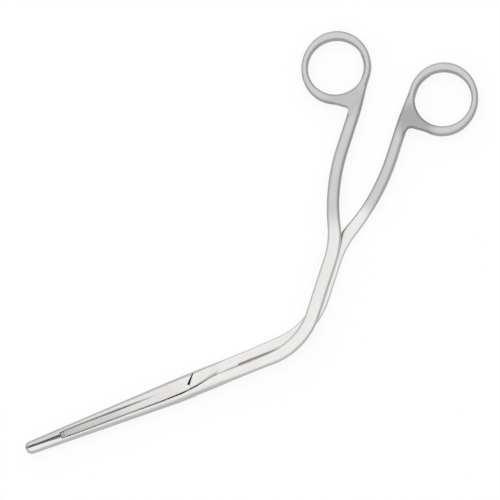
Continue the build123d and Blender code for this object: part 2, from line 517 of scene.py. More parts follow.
@dataclass(frozen=True)
class Oval:
    """Two half ovals that share one width."""

    middle: tuple[float, float]
    half_width: float
    crown: float
    belly: float

    def reach(self, centre: tuple[float, float], ray: tuple[float, float]) -> float:
        """Reach of the outline.

        Args:
            centre: Point inside.
            ray: Direction of length 1.

        Returns:
            Distance from the point to the outline along the ray.
        """
        across = centre[0] - self.middle[0]
        lift = centre[1] - self.middle[1]
        for half_height, sign in ((self.crown, 1.0), (self.belly, -1.0)):
            first = (ray[0] / self.half_width) ** 2 + (ray[1] / half_height) ** 2
            second = across * ray[0] / self.half_width**2 + lift * ray[1] / half_height**2
            third = (across / self.half_width) ** 2 + (lift / half_height) ** 2 - 1.0
            root = second * second - first * third
            if root < 0.0:
                continue
            found = (-second + math.sqrt(root)) / first
            if found > 0.0 and (lift + found * ray[1]) * sign >= -TINY:
                return found
        return LEAST_REACH


@dataclass(frozen=True)
class Limit:
    """Straight limit of a section: it keeps what lies less far along a direction."""

    normal: tuple[float, float]
    value: float

    def reach(self, centre: tuple[float, float], ray: tuple[float, float]) -> float:
        """Reach of the limit.

        Args:
            centre: Point inside.
            ray: Direction of length 1.

        Returns:
            Distance from the point to the limit along the ray.
        """
        speed = ray[0] * self.normal[0] + ray[1] * self.normal[1]
        if speed <= TINY:
            return FAR
        here = centre[0] * self.normal[0] + centre[1] * self.normal[1]
        return max((self.value - here) / speed, LEAST_REACH)


def at_most_across(value: float) -> Limit:
    """Keep what lies below a height in plan."""
    return Limit((1.0, 0.0), value)


def at_least_across(value: float) -> Limit:
    """Keep what lies above a height in plan."""
    return Limit((-1.0, 0.0), -value)


def at_most_lift(value: float, slope: float = 0.0) -> Limit:
    """Keep what lies behind a plane, which may rise with the height in plan."""
    return Limit((-slope, 1.0), value)


def at_least_lift(value: float) -> Limit:
    """Keep what lies in front of a plane level with the lap."""
    return Limit((0.0, -1.0), -value)


Cell = Sequence[Oval | Limit]


def soft_reach(
    cell: Cell, centre: tuple[float, float], ray: tuple[float, float], sharpness: float
) -> float:
    """Reach of the shape that all the outlines of a cell have in common.

    Args:
        cell: Outlines that all hold the centre.
        centre: Point inside.
        ray: Direction of length 1.
        sharpness: How little the shape is rounded where two outlines meet.

    Returns:
        The least reach, rounded where two outlines meet.
    """
    reaches = [outline.reach(centre, ray) for outline in cell]
    least = min(reaches)
    total = sum((least / reach) ** sharpness for reach in reaches)
    return least * total ** (-1.0 / sharpness)


# Meshes


def finished(bm: bmesh.types.BMesh, name: str) -> bpy.types.Mesh:
    """Write a working copy to a new mesh.

    Args:
        bm: Working copy, which is freed.
        name: Name of the mesh.

    Returns:
        The mesh.
    """
    mesh = bpy.data.meshes.new(name)
    bm.to_mesh(mesh)
    bm.free()
    return mesh


@dataclass
class Loop:
    """Closed section of a limb."""

    points: list[Vector]
    grain: list[Vector]
    matte: float = 0.0


class Skin:
    """Mesh that is swept through loops with a vertex for every angle."""

    def __init__(self) -> None:
        """Start an empty mesh with its layers."""
        self.bm = bmesh.new()
        self.step = self.bm.verts.layers.int.new("step")
        self.grain = self.bm.verts.layers.float_vector.new("grain")
        self.matte = self.bm.verts.layers.float.new("matte")

    def sweep(self, loops: Sequence[Loop], open_end: bool = False) -> None:
        """Extrude one loop into the next, and close the ends.

        Args:
            loops: Loops in order, each with the same number of points.
            open_end: Leave the last loop open.
        """
        count = len(loops[0].points)
        made = bmesh.ops.create_circle(self.bm, segments=count, radius=1.0)
        for index, vert in enumerate(made["verts"]):
            vert[self.step] = index
        self._place(made["verts"], loops[0])
        edges = list({edge for vert in made["verts"] for edge in vert.link_edges})
        bmesh.ops.contextual_create(self.bm, geom=edges)
        for loop in loops[1:]:
            edges = self._extrude(edges, loop)
        if not open_end:
            bmesh.ops.contextual_create(self.bm, geom=edges)

    def _extrude(self, edges: list[bmesh.types.BMEdge], loop: Loop) -> list[bmesh.types.BMEdge]:
        """Extrude a loop of edges and put the new vertices on the next loop.

        Args:
            edges: Edges of the last loop so far.
            loop: The next loop.

        Returns:
            Edges of the new loop.
        """
        made = bmesh.ops.extrude_edge_only(self.bm, edges=edges)["geom"]
        verts = [item for item in made if isinstance(item, bmesh.types.BMVert)]
        fresh = set(verts)
        self._place(verts, loop)
        return [
            item
            for item in made
            if isinstance(item, bmesh.types.BMEdge) and all(end in fresh for end in item.verts)
        ]

    def _place(self, verts: Sequence[bmesh.types.BMVert], loop: Loop) -> None:
        """Put vertices on a loop by their angle's number.

        Args:
            verts: Vertices that carry the number.
            loop: Loop that they are put on.
        """
        for vert in verts:
            vert.co = loop.points[vert[self.step]]
            vert[self.grain] = loop.grain[vert[self.step]]
            vert[self.matte] = loop.matte

    def mesh(self, name: str) -> bpy.types.Mesh:
        """Finished mesh, with its faces outwards."""
        bmesh.ops.recalc_face_normals(self.bm, faces=self.bm.faces)
        return finished(self.bm, name)


def place_object(name: str, mesh: bpy.types.Mesh) -> bpy.types.Object:
    """Add an object at the origin.

    Args:
        name: Name of the object.
        mesh: Mesh that it shows.

    Returns:
        The object.
    """
    made = bpy.data.objects.new(name, mesh)
    bpy.context.scene.collection.objects.link(made)
    return made


def settled(made: bpy.types.Object) -> bpy.types.Mesh:
    """Apply an object's modifiers to a copy of its mesh.

    Args:
        made: Object with modifiers.

    Returns:
        The copy.
    """
    graph = bpy.context.evaluated_depsgraph_get()
    graph.update()
    return bpy.data.meshes.new_from_object(made.evaluated_get(graph))


def cut_away(made: bpy.types.Object, cutter: bpy.types.Mesh) -> None:
    """Take a closed mesh away from an object.

    Args:
        made: Object that keeps the result.
        cutter: Mesh of what is cut away.
    """
    tool = place_object("cutter", cutter)
    modifier = made.modifiers.new("cut", "BOOLEAN")
    modifier.operation = "DIFFERENCE"
    modifier.solver = "EXACT"
    modifier.object = tool
    made.data = settled(made)
    made.modifiers.clear()
    bpy.data.objects.remove(tool)


def prism(corners: Sequence[Vector], rise: Vector) -> bpy.types.Mesh:
    """Extrude a flat outline.

    Args:
        corners: Corners of the outline.
        rise: Direction and length of the extrusion.

    Returns:
        Closed mesh with its faces outwards.
    """
    bm = bmesh.new()
    face = bm.faces.new([bm.verts.new(corner) for corner in corners])
    made = bmesh.ops.extrude_face_region(bm, geom=[face])["geom"]
    tops = [item for item in made if isinstance(item, bmesh.types.BMVert)]
    bmesh.ops.translate(bm, verts=tops, vec=rise)
    bmesh.ops.recalc_face_normals(bm, faces=bm.faces)
    return finished(bm, "prism")


def dress(made: bpy.types.Object, finish: bpy.types.Material) -> None:
    """Keep the true edges of a piece sharp and give it its finish.

    Args:
        made: The piece.
        finish: Its only material.
    """
    made.data.set_sharp_from_angle(angle=SHARP_ANGLE)
    made.data.materials.clear()
    made.data.materials.append(finish)


# Sub-assemblies


@dataclass
class FingerRing:
    """Finger ring with the end of its handle, melted together as one forging.

    Sizes are in millimetres and angles in degrees, here and in the pieces that follow.
    """

    side: Side
    layout: Layout = field(default_factory=Layout)
    bore: float = 23.9
    length: float = 32.5
    breadth: float = 29.7
    tilt: float = 65.0
    thickness: float = 4.4
    squareness: float = 2.1
    band_points: int = 32
    steps: int = 120
    voxel: float = 0.24
    smoothing: int = 9
    ring_middle: float = 13.3
    web_half: float = 1.9
    web_reach: float = 15.4
    web_start: float = 2.0
    web_lane: float = 2.4
    web_back: float = 18.0
    web_end: float = 6.0
    web_radius: float = 2.0
    corner_steps: int = 6
    band_grain_reach: float = 16.6
    matte: float = 0.55
    blasted: float = 0.7
    blasted_place: tuple[float, float] = (3.0, 5.0)
    blasted_reach: float = 5.0
    blasted_fade: float = 6.0

    def centre(self) -> Vector:
        """Middle of the ring in plan."""
        lane = (self.layout.handle_spread + self.ring_middle) * self.side.value
        return self.layout.on_handle(self.layout.reach(self.side), lane)

    def outer(self, angle: float) -> float:
        """Outer radius of the band, which is an oval.

        Args:
            angle: Direction from the ring's centre in plan, in radians.

        Returns:
            The radius, in millimetres.
        """
        turned = angle - math.radians(self.tilt)
        long_share = math.cos(turned) / (self.length / 2)
        broad_share = math.sin(turned) / (self.breadth / 2)
        return 1.0 / math.hypot(long_share, broad_share)

    def band_loops(self) -> list[Loop]:
        """Sections of the band.

        Returns:
            Loops all round the ring, without the first one again at the end.
        """
        centre = self.centre()
        power = 2.0 / self.squareness
        loops = []
        for step in range(self.steps):
            angle = math.tau * step / self.steps
            heading = Vector((math.cos(angle), math.sin(angle)))
            outer = self.outer(angle)
            middle = (outer + self.bore / 2) / 2
            half = (outer - self.bore / 2) / 2
            points = []
            for index in range(self.band_points):
                turn = math.tau * index / self.band_points
                across = math.copysign(abs(math.cos(turn)) ** power, math.cos(turn)) * half
                lift = math.copysign(abs(math.sin(turn)) ** power, math.sin(turn))
                plan = centre + heading * (middle + across)
                points.append(self.layout.spot(plan.x, plan.y, lift * self.thickness / 2))
            loops.append(Loop(points, [Vector((0.0, 0.0, 0.0))] * self.band_points))
        return loops

    def web(self) -> bpy.types.Mesh:
        """Flat web that fills the corner between handle and band.

        Returns:
            Closed mesh that reaches into both.
        """
        layout = self.layout
        reach = layout.reach(self.side)
        near, far = reach - self.web_reach, reach - self.web_back
        inner = layout.handle_spread + self.web_lane
        outline = [(near, layout.handle_spread + self.ring_middle - self.web_start)]
        for step in range(self.corner_steps + 1):
            turn = math.radians(90.0 * step / self.corner_steps)
            along = near - self.web_radius * (1.0 - math.cos(turn))
            outline.append((along, inner + self.web_radius * (1.0 - math.sin(turn))))
        outline += [(far, inner), (far, layout.handle_spread)]
        outline.append((reach - self.web_end, layout.handle_spread))
        plan = [layout.on_handle(place, lane * self.side.value) for place, lane in outline]
        corners = [layout.spot(point.x, point.y, -self.web_half) for point in plan]
        return prism(corners, Vector((0.0, 0.0, 2 * self.web_half * MM)))

    def build(self, handle_loops: Sequence[Loop], cut: tuple[Vector, Vector]) -> bpy.types.Mesh:
        """Melt band, web and handle into one mesh, open where the handle goes on.

        Args:
            handle_loops: Sections of the handle that reach into the band.
            cut: Point and heading of the plane where the mesh is left open.

        Returns:
            Mesh with its brushing layers.
        """
        skin = Skin()
        skin.sweep(handle_loops)
        self._sweep_band(skin)
        skin.bm.from_mesh(self.web())
        block = place_object("ring_block", skin.mesh("ring_block"))
        modifier = block.modifiers.new("melt", "REMESH")
        modifier.mode = "VOXEL"
        modifier.voxel_size = self.voxel * MM
        melted = settled(block)
        bpy.data.objects.remove(block)
        bm = bmesh.new()
        bm.from_mesh(melted)
        for _ in range(self.smoothing):
            bmesh.ops.smooth_vert(
                bm, verts=bm.verts, factor=0.5, use_axis_x=True, use_axis_y=True, use_axis_z=True
            )
        bmesh.ops.bisect_plane(
            bm,
            geom=[*bm.verts, *bm.edges, *bm.faces],
            plane_co=cut[0],
            plane_no=cut[1],
            clear_inner=True,
        )
        self._brush(bm)
        return finished(bm, "ring")

    def _sweep_band(self, skin: Skin) -> None:
        """Sweep the band and join its end to its start.

        Args:
            skin: Mesh that the band is added to.
        """
        bm, loops = skin.bm, self.band_loops()
        before = set(bm.faces)
        skin.sweep([*loops, loops[0]])
        caps = [face for face in bm.faces if face not in before and len(face.verts) > 4]
        bmesh.ops.delete(bm, geom=caps, context="FACES_ONLY")
        bmesh.ops.remove_doubles(bm, verts=bm.verts, dist=WELD)

    def _brush(self, bm: bmesh.types.BMesh) -> None:
        """Store the brushing round the band and along the handle.

        Args:
            bm: Melted ring.
        """
        grain = bm.verts.layers.float_vector.new("grain")
        matte = bm.verts.layers.float.new("matte")
        layout = self.layout
        plan_centre = self.centre()
        centre = layout.spot(plan_centre.x, plan_centre.y, 0.0)
        turn = math.radians(layout.handle_angle)
        forward = Vector((math.cos(turn), math.sin(turn), 0.0))
        across = Vector((-math.sin(turn), math.cos(turn), 0.0))
        past, beside = self.blasted_place
        corner = layout.on_handle(
            layout.reach(self.side) - self.web_reach + past,
            (layout.handle_spread + beside) * self.side.value,
        )
        blasted = layout.spot(corner.x, corner.y, 0.0)
        for vert in bm.verts:
            away = vert.co - centre
            flat = math.hypot(away.x, away.y)
            if flat < self.band_grain_reach * MM:
                angle = math.atan2(away.dot(across), away.dot(forward))
                vert[grain] = Vector((angle * self.ring_middle * MM, flat, away.z))
            else:
                vert[grain] = Vector((away.dot(forward), away.dot(across), away.z))
            far = (vert.co - blasted).length / MM - self.blasted_reach
            vert[matte] = mix(self.blasted, self.matte, ease(far, 0.0, self.blasted_fade))


@dataclass
class Limb:
    """One forging from jaw tip to finger ring, swept as a single skin.

    Places are distances along the shaft's axis from the pivot, negative on the jaw.
    """

    side: Side
    name: str
    body: str
    band_up: float
    band_start: float
    fork: float
    layout: Layout = field(default_factory=Layout)
    jaw: JawBody = field(default_factory=JawBody)

    # Shank, knee, fork and handle

    shank_start: float = 20.0
    shank_lane: float = 0.6
    band_width: float = 5.0
    band_rise: float = 10.0
    band_sink: float = 0.6
    knee_width: float = 6.0
    handle_width: float = 5.25
    fork_run: float = 23.0
    fork_radii: tuple[float, float] = (36.0, 83.0)
    matte_run: tuple[float, float] = (2.0, 14.0)
    neck_width: float = 3.3
    band_outer: float = 1.9
    band_inner: float = 1.25
    handle_half: float = 2.3
    neck_half: float = 1.7
    knee_run: float = 22.0
    knee_lead: float = 0.5
    level_run: float = 42.0
    level_lead: float = 0.1
    slim_run: float = 26.0
    slim_lead: float = 0.25
    neck_run: float = 18.0

    # Pad, teeth and serrations

    pad_length: float = 15.5
    pad_tip_up: float = 0.8
    pad_end_up: float = -0.05
    pad_tip_gap: float = 0.15
    pad_end_gap: float = 0.75
    tooth_pitch: float = 1.0
    tooth_depth: float = 0.4
    # Painted shade between the teeth, on faces that look at the other jaw, in place of the shadow
    # in the gap.
    tooth_painted_shade: float = 0.6
    tooth_facing: float = 0.45
    tooth_margins: tuple[float, float] = (0.8, 0.05)
    tip_shares: tuple[float, ...] = (0.01, 0.04, 0.1, 0.18, 0.28, 0.4, 0.55, 0.75)
    serration_pitch: float = 1.25
    serration_depth: float = 0.2
    serration_lead: float = 0.2
    rim_sharpness: float = 14.0
    rim_run: float = 3.0
    outer_fade: float = 0.3

    # Sweep, and the join to the melted ring

    section_step: float = 1.0
    ring_join: float = 27.0
    ring_gap: float = 1.2
    ring_turn: tuple[float, float] = (13.3, 50.0)
    lead_in: float = 1.0
    lead_step: float = 0.8

    # Finish of the handle

    handle_matte: float = 0.5
    blasted: float = 0.7

    def __post_init__(self) -> None:
        """Lay out the centre line from the lap to the ring."""
        layout, sign = self.layout, self.side.value
        lane_in, lane_out = self.shank_lane * sign, layout.handle_spread * sign
        points = [
            Vector((0.0, self.band_up)),
            layout.knee_point(self.band_up, lane_in),
            layout.on_handle(self.fork, lane_in),
            layout.on_handle(self.fork + self.fork_run, lane_out),
            layout.on_handle(layout.reach(self.side), lane_out),
        ]
        self.line = CentreLine(points, [layout.knee_radius, *self.fork_radii])
        self.straight_length = self.line.length
        radius, sweep = self.ring_turn
        self.line.turn(radius, sweep * sign)

    # Outlines that the two limbs give

    def face_outline(self) -> list[tuple[float, float]]:
        """Inner face behind the pad, as points of (share of the way, height)."""
        raise NotImplementedError

    def last_share(self) -> float:
        """Share of the way to the slash where the serrations end."""
        raise NotImplementedError

    def joint_loops(self) -> Iterator[Loop]:
        """Sections from the end of the serrations to the plain shank."""
        raise NotImplementedError

    # Sections

    def bar_oval(self, distance: float) -> Oval:
        """Section of the shank and the handle.

        Args:
            distance: Distance along the centre line from the pivot.

        Returns:
            The section's oval, with its middle across and over the centre line.
        """
        layout = self.layout
        knee_start = layout.shaft_reach - layout.knee_radius / 2
        fork_at = layout.shaft_reach + self.fork
        ring_at = layout.shaft_reach + layout.reach(self.side)
        sink = self.band_sink * (1 - ease(distance - self.band_start, 0, self.band_rise))
        levelled = ease_about(distance, fork_at, self.level_run, self.level_lead)
        swelled = ease_about(distance, knee_start, self.knee_run, self.knee_lead)
        slimmed = ease_about(distance, fork_at, self.slim_run, self.slim_lead)
        necked = ease(distance, ring_at - self.neck_run, ring_at)
        width = mix(self.band_width, self.knee_width, swelled)
        width = mix(width, self.handle_width, slimmed)
        width = mix(width, self.neck_width, necked) - sink
        half = mix(self.handle_half, self.neck_half, necked)
        outer = mix(self.band_outer - sink, half, levelled)
        inner = mix(self.band_inner, half, levelled)
        lift = mix((layout.lap_gap + self.band_inner) * self.side.value, 0.0, levelled)
        front = self.side is Side.FRONT
        return Oval((0.0, lift), width / 2, outer if front else inner, inner if front else outer)

    def loop(
        self,
        distance: float,
        cells: Sequence[Cell],
        centre: tuple[float, float],
        sharpness: float = CRISP,
    ) -> Loop:
        """Section at a distance along the centre line.

        Args:
            distance: Distance along the centre line from the pivot.
            cells: Cells whose union is the section, each holding the centre.
            centre: Point inside, across and over the centre line.
            sharpness: How little the inner side is rounded where outlines meet. The outer
                side is always crisp.

        Returns:
            The loop, with its brushing.
        """
        place, heading = self.line.at(distance)
        points, grain = [], []
        for index in range(SECTION_POINTS):
            angle = math.tau * index / SECTION_POINTS
            ray = (math.cos(angle), math.sin(angle))
            outer = ease(-ray[0] * self.side.value, -self.outer_fade, self.outer_fade)
            crisp = mix(sharpness, CRISP, outer)
            reach = max(soft_reach(cell, centre, ray, crisp) for cell in cells)
            across = centre[0] + reach * ray[0]
            lift = centre[1] + reach * ray[1]
            along, up = place.x - heading.y * across, place.y + heading.x * across
            points.append(self.layout.spot(along, up, lift))
            grain.append(Vector((distance * MM, across * MM, lift * MM)))
        return Loop(points, grain, self.matte_at(distance))

    def matte_at(self, distance: float) -> float:
        """How matte the surface is, here on the handle alone.

        Args:
            distance: Distance along the centre line from the pivot.

        Returns:
            Share from 0 to 1.
        """
        fork_at = self.layout.shaft_reach + self.fork
        start, end = self.matte_run
        return self.handle_matte * ease(distance, fork_at + start, fork_at + end)

    def bar_loop(self, distance: float) -> Loop:
        """Section of the plain shank or handle."""
        oval = self.bar_oval(distance)
        return self.loop(distance, [[oval]], oval.middle)

    def jaw_oval(self, along: float) -> Oval:
        """Oval of the jaw's body, across from the centre line."""
        middle, half_width, half_depth = self.jaw.oval(along + self.layout.jaw_reach)
        return Oval((middle - self.band_up, 0.0), half_width, half_depth, half_depth)

    def pad_end(self) -> float:
        """Place where the toothed pad ends, along the shaft."""
        return self.pad_length - self.layout.jaw_reach

    def faces(self) -> list[tuple[float, float]]:
        """Toothed and serrated inner face.

        Returns:
            Points of (along, height), from the tip to the end of the serrations.
        """
        layout, sign = self.layout, self.side.value
        upper = self.side is Side.BACK
        tip = -layout.jaw_reach
        points = []
        teeth = round(self.pad_length / self.tooth_pitch)
        for index in range(2 * teeth + 1):
            share = index / (2 * teeth)
            parting = mix(self.pad_tip_up, self.pad_end_up, share)
            gap = mix(self.pad_tip_gap, self.pad_end_gap, share) / 2
            root = self.tooth_depth * ((index % 2) if upper else ((index + 1) % 2))
            points.append((tip + share * self.pad_length, parting - sign * (gap + root)))
        run = layout.jaw_reach + layout.slash_foot[0] - self.pad_length
        outline, last = self.face_outline(), self.last_share()
        ridges = round(run * last / self.serration_pitch)
        for index in range(2 * ridges + 1):
            share = index / (2 * ridges) * last
            root = self.serration_depth * ((index + 1) % 2)
            along = self.pad_end() + self.serration_lead + share * (run - self.serration_lead)
            points.append((along, height_on(outline, share) - sign * root))
        return points

    def jaw_loops(self) -> Iterator[Loop]:
        """Sections of the jaw.

        Returns:
            Loops from the rounded tip to the end of the serrations.
        """
        faces = self.faces()
        tip = -self.layout.jaw_reach
        rounding = [tip + self.jaw.tip_run * share for share in self.tip_shares]
        for along in sorted([*rounding, *(place for place, _ in faces)]):
            yield self.jaw_loop(along, height_on(faces, along))

    def jaw_loop(self, along: float, face: float) -> Loop:
        """One section of the jaw, with its inner face at a height."""
        centre = self.jaw_centre(along, face)
        return self.loop(along, self.jaw_cells(along, face), centre, self.jaw_sharpness(along))

    def jaw_centre(self, along: float, face: float) -> tuple[float, float]:
        """Point midway between the inner face and the jaw's outer side.

        Args:
            along: Place of the section along the shaft.
            face: Height of the inner face in plan.

        Returns:
            The point, across and over the centre line.
        """
        oval = self.jaw_oval(along)
        outer = oval.middle[0] - self.side.value * oval.half_width
        return ((face - self.band_up + outer) / 2, 0.0)

    def jaw_cells(self, along: float, face: float) -> list[Cell]:
        """Half of the jaw's body that an upright inner face leaves.

        Args:
            along: Place of the section along the shaft.
            face: Height of the inner face in plan.

        Returns:
            Cells of the section.
        """
        inner = face - self.band_up
        limit = at_most_across(inner) if self.side is Side.FRONT else at_least_across(inner)
        return [[self.jaw_oval(along), limit, at_least_lift(-self.layout.lap_height)]]

    def jaw_sharpness(self, along: float) -> float:
        """Sharpness of the edges of the inner face: crisp on the pad, softer behind it."""
        behind = ease(along, self.pad_end(), self.pad_end() + self.rim_run)
        return mix(CRISP, self.rim_sharpness, behind)

    def build(self, steel: bpy.types.Material) -> bpy.types.Object:
        """Make the limb, dress it and let it ride.

        Args:
            steel: Finish of the limb.

        Returns:
            The object.
        """
        join = self.straight_length - self.ring_join
        skin = Skin()
        skin.sweep(self.limb_loops(join), open_end=True)
        skin.bm.from_mesh(self.ring_mesh(join))
        rims = [edge for edge in skin.bm.edges if edge.is_boundary]
        bmesh.ops.bridge_loops(skin.bm, edges=rims)
        made = place_object(self.name, skin.mesh(self.name))
        self.trim(made)
        # Painted shade per face, which darkens the colour where shadow would fall.
        painted_shade = made.data.attributes.new("painted_shade", "FLOAT", "FACE")
        for face in made.data.polygons:
            painted_shade.data[face.index].value = self.painted_shade_at(face)
        dress(made, steel)
        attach(made, self.body)
        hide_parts(self.name.removesuffix("_skin"))
        return made

    def limb_loops(self, join: float) -> list[Loop]:
        """Sections from the jaw's tip to the handle's end.

        Args:
            join: Distance from the pivot where the melted ring takes over.

        Returns:
            The loops, in order.
        """
        loops = [*self.jaw_loops(), *self.joint_loops()]
        count = round((join - self.shank_start) / self.section_step)
        for index in range(count + 1):
            loops.append(self.bar_loop(mix(self.shank_start, join, index / count)))
        return loops

    def ring_mesh(self, join: float) -> bpy.types.Mesh:
        """Finger ring, melted with the end of the handle.

        Args:
            join: Distance from the pivot where the swept handle ends.

        Returns:
            Mesh that is open just past the handle's end.
        """
        place, heading = self.line.at(join + self.ring_gap)
        cut = (self.layout.spot(place.x, place.y, 0.0), Vector((heading.x, heading.y, 0.0)))
        first = join - self.lead_in
        count = int((self.line.length - first) / self.lead_step)
        handle = [self.bar_loop(first + self.lead_step * index) for index in range(count)]
        ring = FingerRing(self.side, self.layout, matte=self.handle_matte, blasted=self.blasted)
        return ring.build(handle, cut)

    def trim(self, made: bpy.types.Object) -> None:
        """Cut what the sections can't show, which here is nothing."""

    def painted_shade_at(self, face: bpy.types.MeshPolygon) -> float:
        """How much painted shade darkens a face, here between the teeth, where the gap would be in
        shadow.

        Args:
            face: Face of the finished mesh.

        Returns:
            Share of painted shade, from 0 to 1.
        """
        from_tip = face.center.x / MM + self.layout.middle[0] + self.layout.jaw_reach
        inward = face.normal.y * self.side.value > self.tooth_facing
        start, end = self.tooth_margins
        return self.tooth_painted_shade * float(inward and start < from_tip < self.pad_length - end)


@dataclass
class FrontLimb(Limb):
    """Lower jaw, front lap, front shank, handle and left ring."""

    side: Side = Side.FRONT
    name: str = "front_limb_skin"
    body: str = "front_half"
    band_up: float = -3.1
    knee_width: float = 5.85
    band_start: float = 1.0
    fork: float = 42.5
    lower_face: tuple[tuple[float, float], ...] = (
        (0.0, -1.2), (0.15, -1.6), (0.53, -2.25), (0.8, -2.9), (0.92, -3.0),
    )
    lap_edge: tuple[tuple[float, float], ...] = (
        (-9.0, -2.5), (-6.0, -1.95), (-2.0, -1.2), (1.0, -0.9), (5.0, -0.75), (13.0, -0.6),
    )
    heel_places: tuple[float, ...] = (-15.5, -14.0, -12.5)
    heel_run: float = 0.3
    lap_start: float = 1.0
    lap_step: float = 0.8
    lap_end: float = 0.5
    lap_turn: tuple[float, float] = (0.0, 14.0)
    lap_centre: tuple[float, float] = (-0.1, 1.5)
    lap_sharpness: float = 4.5

    def face_outline(self) -> list[tuple[float, float]]:
        """Inner face of the lower jaw."""
        return list(self.lower_face)

    def last_share(self) -> float:
        """Serrations end before the joint."""
        return self.lower_face[-1][0]

    def joint_loops(self) -> Iterator[Loop]:
        """Full jaw to the heel, half thickness over the pivot, then into the shank.

        Returns:
            Loops up to just before the plain shank.
        """
        heel = -(self.layout.heel_radius + self.layout.heel_gap)
        edge = [self.faces()[-1], *self.lap_edge]
        for along in (*self.heel_places, heel - self.heel_run, heel):
            yield self.jaw_loop(along, height_on(edge, along))
        start = heel + self.lap_start
        count = int((self.shank_start - self.lap_end - start) / self.lap_step) + 1
        places = [heel + JUMP, heel + self.heel_run]
        places += [start + self.lap_step * step for step in range(count)]
        for along in places:
            yield self.lap_loop(along, height_on(edge, along))

    def lap_loop(self, along: float, edge: float) -> Loop:
        """Section of the front half of the joint, which turns into the shank's.

        Args:
            along: Place of the section along the shaft.
            edge: Height of the lap's inner edge in plan.

        Returns:
            The loop.
        """
        share = ease(along, *self.lap_turn)
        bar = self.bar_oval(along)
        across, lift = self.lap_centre
        centre = (mix(across, 0.0, share), mix(lift, bar.middle[1], share))
        half = [
            self.jaw_oval(along),
            at_most_across(edge - self.band_up),
            at_least_lift(self.layout.lap_gap),
        ]
        lap = self.loop(along, [half], centre, self.lap_sharpness)
        shank = self.loop(along, [[bar]], centre)
        points = [first.lerp(second, share) for first, second in zip(lap.points, shank.points)]
        return Loop(points, lap.grain)


